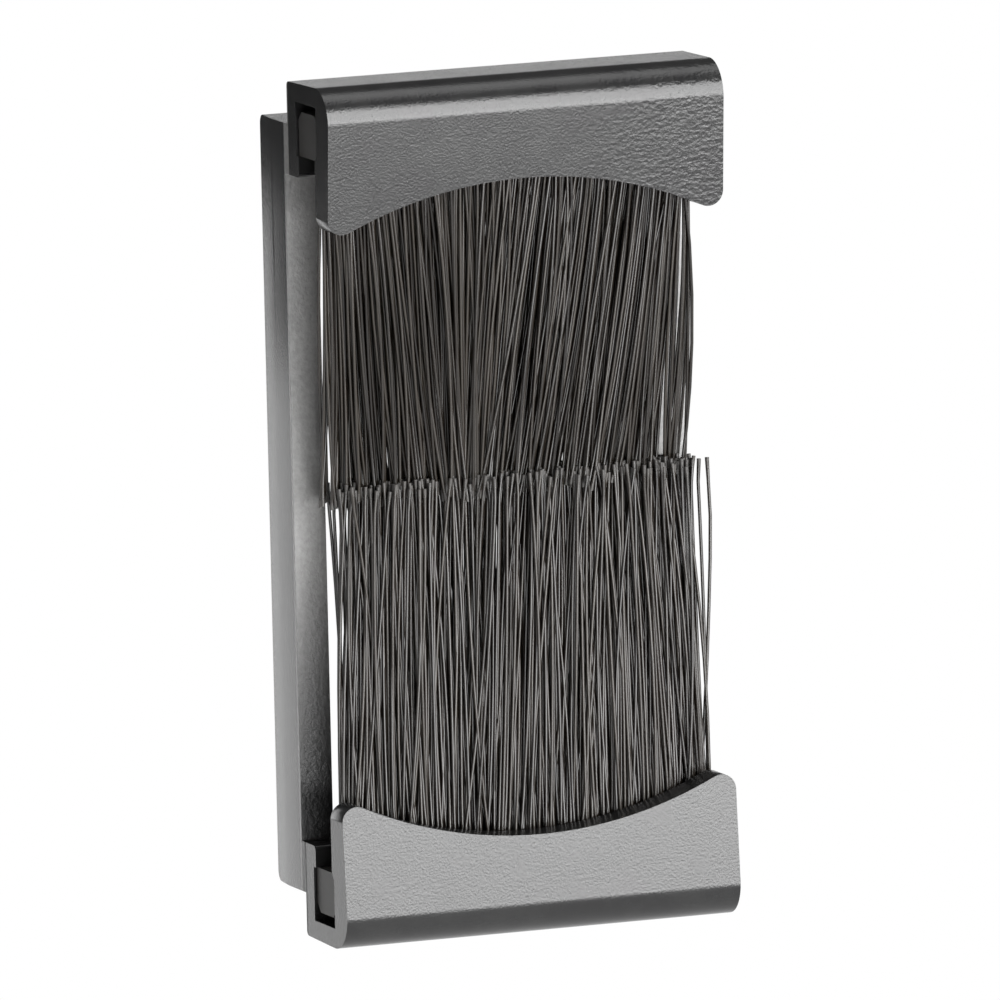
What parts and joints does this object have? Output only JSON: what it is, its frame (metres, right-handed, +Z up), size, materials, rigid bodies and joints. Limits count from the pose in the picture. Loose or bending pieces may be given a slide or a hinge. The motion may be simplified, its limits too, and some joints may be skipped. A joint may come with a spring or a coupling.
{
  "type": "brush cable entry module",
  "caption": "Snap-in faceplate module: a moulded black frame whose two facing channels hold brush strips that meet across a cable window.",
  "frame": {"origin": "centre of the plane in which the module seats on its faceplate's ledge, midway across its width and height", "axes": "+Z up as fitted in a wall or rack faceplate, -Y out of the front of the faceplate, +X to the right seen from the front"},
  "size_m": [0.0244, 0.0113, 0.05],
  "materials": {
    "frame_plastic": "fine-grained semi-gloss black moulding",
    "bar_plastic": "dull black, welded filament ends",
    "filament_nylon": "black monofilament with a soft sheen"
  },
  "bodies": {
    "root": {"carrier_frame": "frame_plastic", "upper_brush_backing": "bar_plastic", "upper_brush_filaments": "filament_nylon", "lower_brush_backing": "bar_plastic", "lower_brush_filaments": "filament_nylon"}
  },
  "joints": []
}
